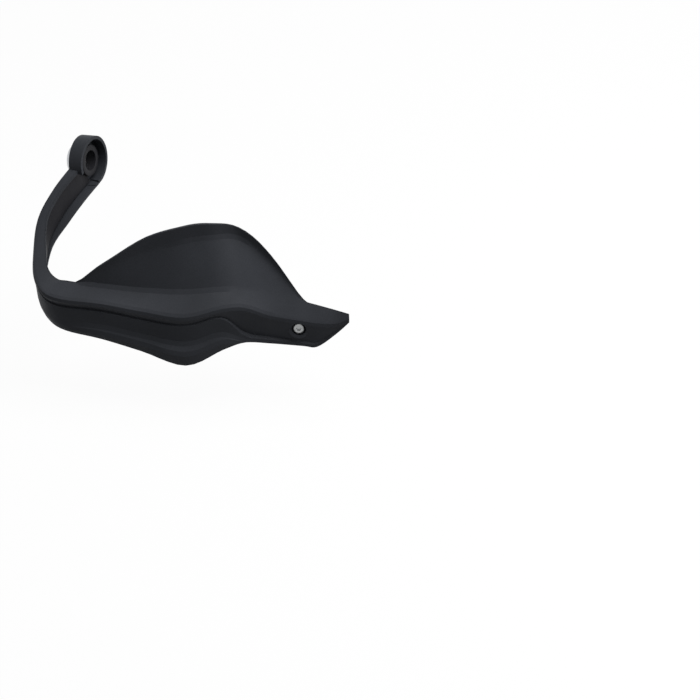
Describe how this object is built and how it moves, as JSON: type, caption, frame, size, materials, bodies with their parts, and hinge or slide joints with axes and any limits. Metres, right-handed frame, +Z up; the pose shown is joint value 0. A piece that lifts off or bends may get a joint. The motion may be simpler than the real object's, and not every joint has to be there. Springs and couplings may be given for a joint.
{
  "type": "motorcycle hand guard",
  "caption": "Moulded wind guard for a handlebar: a front shield with a raised wing, an open-backed arm to the bar end, an eye cup, a lining cover and mounting hardware.",
  "frame": {"origin": "centre of the bar end hole, on the outer face of the eye, where the cup washer sits", "axes": "+X inboard along the handlebar's general direction, +Y to the rear of the motorcycle, +Z up"},
  "size_m": [0.278, 0.1847, 0.1296],
  "materials": {
    "moulded_plastic": "fine moulded texture, dark charcoal",
    "cover_plastic": "smooth moulded, near black",
    "turned_aluminium": "turned, bare",
    "plated_steel": "zinc plated"
  },
  "bodies": {
    "root": {"guard_moulding": "moulded_plastic", "arm_cover": "cover_plastic", "cup_washer": "turned_aluminium", "spacer_ring": "turned_aluminium", "mount_sleeve": "plated_steel", "mount_screw": "plated_steel", "nut_clip": "plated_steel", "square_nut": "plated_steel"}
  },
  "joints": []
}
